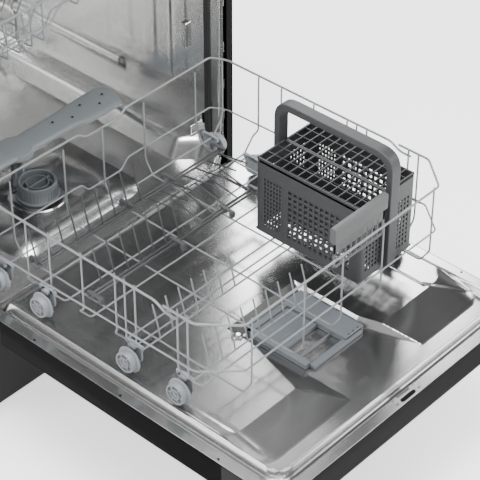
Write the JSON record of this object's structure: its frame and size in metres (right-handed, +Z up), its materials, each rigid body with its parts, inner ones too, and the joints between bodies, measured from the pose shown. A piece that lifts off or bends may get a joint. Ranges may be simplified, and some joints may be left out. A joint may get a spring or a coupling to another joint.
{
  "type": "built-in dishwasher",
  "caption": "Built-in dishwasher with its door folded down and its lower wire rack rolled out, with cutlery basket, folding tines, spray arms, filter and split-level upper rack.",
  "frame": {"origin": "on the floor, midway between the open door's free edge and the back of the cabinet, on the middle plane", "axes": "+X to the right as seen from the front, +Y from the door's free edge towards the back, +Z up"},
  "size_m": [0.598, 1.202, 0.848],
  "materials": {
    "stainless": "polished stainless steel",
    "black_enamel": "satin black paint",
    "console_black": "gloss black",
    "galvanised": "galvanised sheet",
    "ballast": "cast",
    "base_plastic": "black moulded plastic",
    "seal_rubber": "matt",
    "coated_wire": "grey-blue plastic-coated steel wire",
    "tine_plastic": "dark coated steel wire",
    "wheel_plastic": "moulded",
    "arm_plastic": "moulded",
    "basket_plastic": "moulded",
    "basket_plate_plastic": "moulded",
    "filter_plastic": "moulded",
    "dispenser_plastic": "moulded",
    "motor_housing": "cast housing"
  },
  "bodies": {
    "cabinet": {"tub": "stainless", "side_panel_left": "black_enamel", "side_panel_right": "black_enamel", "top_cover": "galvanised", "back_panel": "galvanised", "door_gasket": "seal_rubber", "base_tray": "base_plastic", "plinth": "base_plastic", "foot_front_left": "base_plastic", "foot_front_right": "base_plastic", "foot_rear_left": "base_plastic", "foot_rear_right": "base_plastic", "sump": "base_plastic", "filter_plate": "stainless", "circulation_pump": "motor_housing", "drain_pump": "arm_plastic", "base_weight": "ballast", "feed_pipe": "arm_plastic", "spray_arm_post": "filter_plastic", "hinge_bracket_left": "galvanised", "hinge_bracket_right": "galvanised", "upper_rail_left": "stainless", "upper_rail_right": "stainless"},
    "door": {"door_inner": "stainless", "door_outer": "black_enamel", "control_panel": "console_black", "door_latch": "base_plastic", "dispenser_body": "dispenser_plastic"},
    "dispenser_lid": {"dispenser_lid": "dispenser_plastic"},
    "rinse_cap": {"rinse_cap": "dispenser_plastic"},
    "button_power": {"button_power": "basket_plate_plastic"},
    "button_program": {"button_program": "basket_plate_plastic"},
    "button_start": {"button_start": "basket_plate_plastic"},
    "lower_rack": {"rack_floor": "coated_wire", "rack_left": "coated_wire", "rack_right": "coated_wire", "rack_front": "coated_wire", "rack_rear": "coated_wire", "tine_mount_rear": "tine_plastic", "tine_mount_front": "tine_plastic"},
    "tines_rear_left": {"tines_rear_left": "tine_plastic"},
    "tines_rear_right": {"tines_rear_right": "tine_plastic"},
    "tines_front_left": {"tines_front_left": "tine_plastic"},
    "tines_front_right": {"tines_front_right": "tine_plastic"},
    "cutlery_basket": {"cutlery_basket": "basket_plastic", "basket_front_plate": "basket_plate_plastic"},
    "basket_lid_left": {"basket_lid_left": "basket_plastic"},
    "basket_lid_right": {"basket_lid_right": "basket_plastic"},
    "filter_cylinder": {"filter_cylinder": "filter_plastic"},
    "lower_spray_arm": {"lower_spray_arm": "arm_plastic"},
    "upper_rack": {"upper_rack": "coated_wire"},
    "upper_spray_arm": {"upper_spray_arm": "arm_plastic"},
    "wheel_left_1": {"wheel_left_1": "wheel_plastic"},
    "wheel_left_2": {"wheel_left_2": "wheel_plastic"},
    "wheel_left_3": {"wheel_left_3": "wheel_plastic"},
    "wheel_left_4": {"wheel_left_4": "wheel_plastic"},
    "wheel_right_1": {"wheel_right_1": "wheel_plastic"},
    "wheel_right_2": {"wheel_right_2": "wheel_plastic"},
    "wheel_right_3": {"wheel_right_3": "wheel_plastic"},
    "wheel_right_4": {"wheel_right_4": "wheel_plastic"}
  },
  "joints": [
    {"name": "door_hinge", "type": "hinge", "parent": "cabinet", "child": "door", "pos_m": [0, 0.014, 0.227], "axis": [-1, 0, 0], "range_deg": [0, 25]},
    {"name": "lower_rack_slide", "type": "slide", "parent": "door", "child": "lower_rack", "axis": [0, -1, 0], "range_m": [-0.53, 0]},
    {"name": "upper_rack_slide", "type": "slide", "parent": "cabinet", "child": "upper_rack", "axis": [0, 1, 0], "range_m": [-0.32, 0]},
    {"name": "upper_arm_spin", "type": "hinge", "parent": "upper_rack", "child": "upper_spray_arm", "pos_m": [0, 0.3, 0.612], "axis": [0, 0, 1], "continuous": true},
    {"name": "lower_arm_spin", "type": "hinge", "parent": "cabinet", "child": "lower_spray_arm", "pos_m": [0, 0.28, 0.308], "axis": [0, 0, 1], "continuous": true},
    {"name": "filter_twist", "type": "hinge", "parent": "cabinet", "child": "filter_cylinder", "pos_m": [0, 0.229, 0.2321], "axis": [0, 0, 1], "range_deg": [0, 90]},
    {"name": "dispenser_lid_slide", "type": "slide", "parent": "door", "child": "dispenser_lid", "axis": [0, -1, 0], "range_m": [0, 0.052]},
    {"name": "rinse_cap_twist", "type": "hinge", "parent": "door", "child": "rinse_cap", "pos_m": [0.0515, -0.42, 0.2623], "axis": [0, 0, 1], "range_deg": [0, 90]},
    {"name": "basket_lift", "type": "slide", "parent": "lower_rack", "child": "cutlery_basket", "axis": [0, 0, 1], "range_m": [0, 0.15]},
    {"name": "basket_lid_left_hinge", "type": "hinge", "parent": "cutlery_basket", "child": "basket_lid_left", "pos_m": [0.095, -0.3055, 0.4673], "axis": [0, -1, 0], "range_deg": [0, 100]},
    {"name": "basket_lid_right_hinge", "type": "hinge", "parent": "cutlery_basket", "child": "basket_lid_right", "pos_m": [0.229, -0.3055, 0.4673], "axis": [0, 1, 0], "range_deg": [0, 100]},
    {"name": "tines_rear_left_fold", "type": "hinge", "parent": "lower_rack", "child": "tines_rear_left", "pos_m": [-0.098, -0.011, 0.3278], "axis": [1, 0, 0], "range_deg": [0, 95]},
    {"name": "tines_rear_right_fold", "type": "hinge", "parent": "lower_rack", "child": "tines_rear_right", "pos_m": [0.119, -0.011, 0.3278], "axis": [1, 0, 0], "range_deg": [-95, 0]},
    {"name": "tines_front_left_fold", "type": "hinge", "parent": "lower_rack", "child": "tines_front_left", "pos_m": [-0.094, -0.123, 0.3278], "axis": [1, 0, 0], "range_deg": [-65, 0]},
    {"name": "tines_front_right_fold", "type": "hinge", "parent": "lower_rack", "child": "tines_front_right", "pos_m": [0.1045, -0.123, 0.3278], "axis": [1, 0, 0], "range_deg": [0, 65]},
    {"name": "button_power_press", "type": "slide", "parent": "door", "child": "button_power", "axis": [0, 0, 1], "range_m": [0, 0.0015], "stiffness_N_per_m": 400, "springref_m": -0.001},
    {"name": "button_program_press", "type": "slide", "parent": "door", "child": "button_program", "axis": [0, 0, 1], "range_m": [0, 0.0015], "stiffness_N_per_m": 400, "springref_m": -0.001},
    {"name": "button_start_press", "type": "slide", "parent": "door", "child": "button_start", "axis": [0, 0, 1], "range_m": [0, 0.0015], "stiffness_N_per_m": 400, "springref_m": -0.001},
    {"name": "wheel_left_1_spin", "type": "hinge", "parent": "lower_rack", "child": "wheel_left_1", "pos_m": [-0.257, -0.358, 0.3], "axis": [1, 0, 0], "continuous": true},
    {"name": "wheel_left_2_spin", "type": "hinge", "parent": "lower_rack", "child": "wheel_left_2", "pos_m": [-0.257, -0.252, 0.3], "axis": [1, 0, 0], "continuous": true},
    {"name": "wheel_left_3_spin", "type": "hinge", "parent": "lower_rack", "child": "wheel_left_3", "pos_m": [-0.257, -0.06, 0.3], "axis": [1, 0, 0], "continuous": true},
    {"name": "wheel_left_4_spin", "type": "hinge", "parent": "lower_rack", "child": "wheel_left_4", "pos_m": [-0.257, 0.039, 0.3], "axis": [1, 0, 0], "continuous": true},
    {"name": "wheel_right_1_spin", "type": "hinge", "parent": "lower_rack", "child": "wheel_right_1", "pos_m": [0.257, -0.358, 0.3], "axis": [1, 0, 0], "continuous": true},
    {"name": "wheel_right_2_spin", "type": "hinge", "parent": "lower_rack", "child": "wheel_right_2", "pos_m": [0.257, -0.252, 0.3], "axis": [1, 0, 0], "continuous": true},
    {"name": "wheel_right_3_spin", "type": "hinge", "parent": "lower_rack", "child": "wheel_right_3", "pos_m": [0.257, -0.06, 0.3], "axis": [1, 0, 0], "continuous": true},
    {"name": "wheel_right_4_spin", "type": "hinge", "parent": "lower_rack", "child": "wheel_right_4", "pos_m": [0.257, 0.039, 0.3], "axis": [1, 0, 0], "continuous": true}
  ]
}
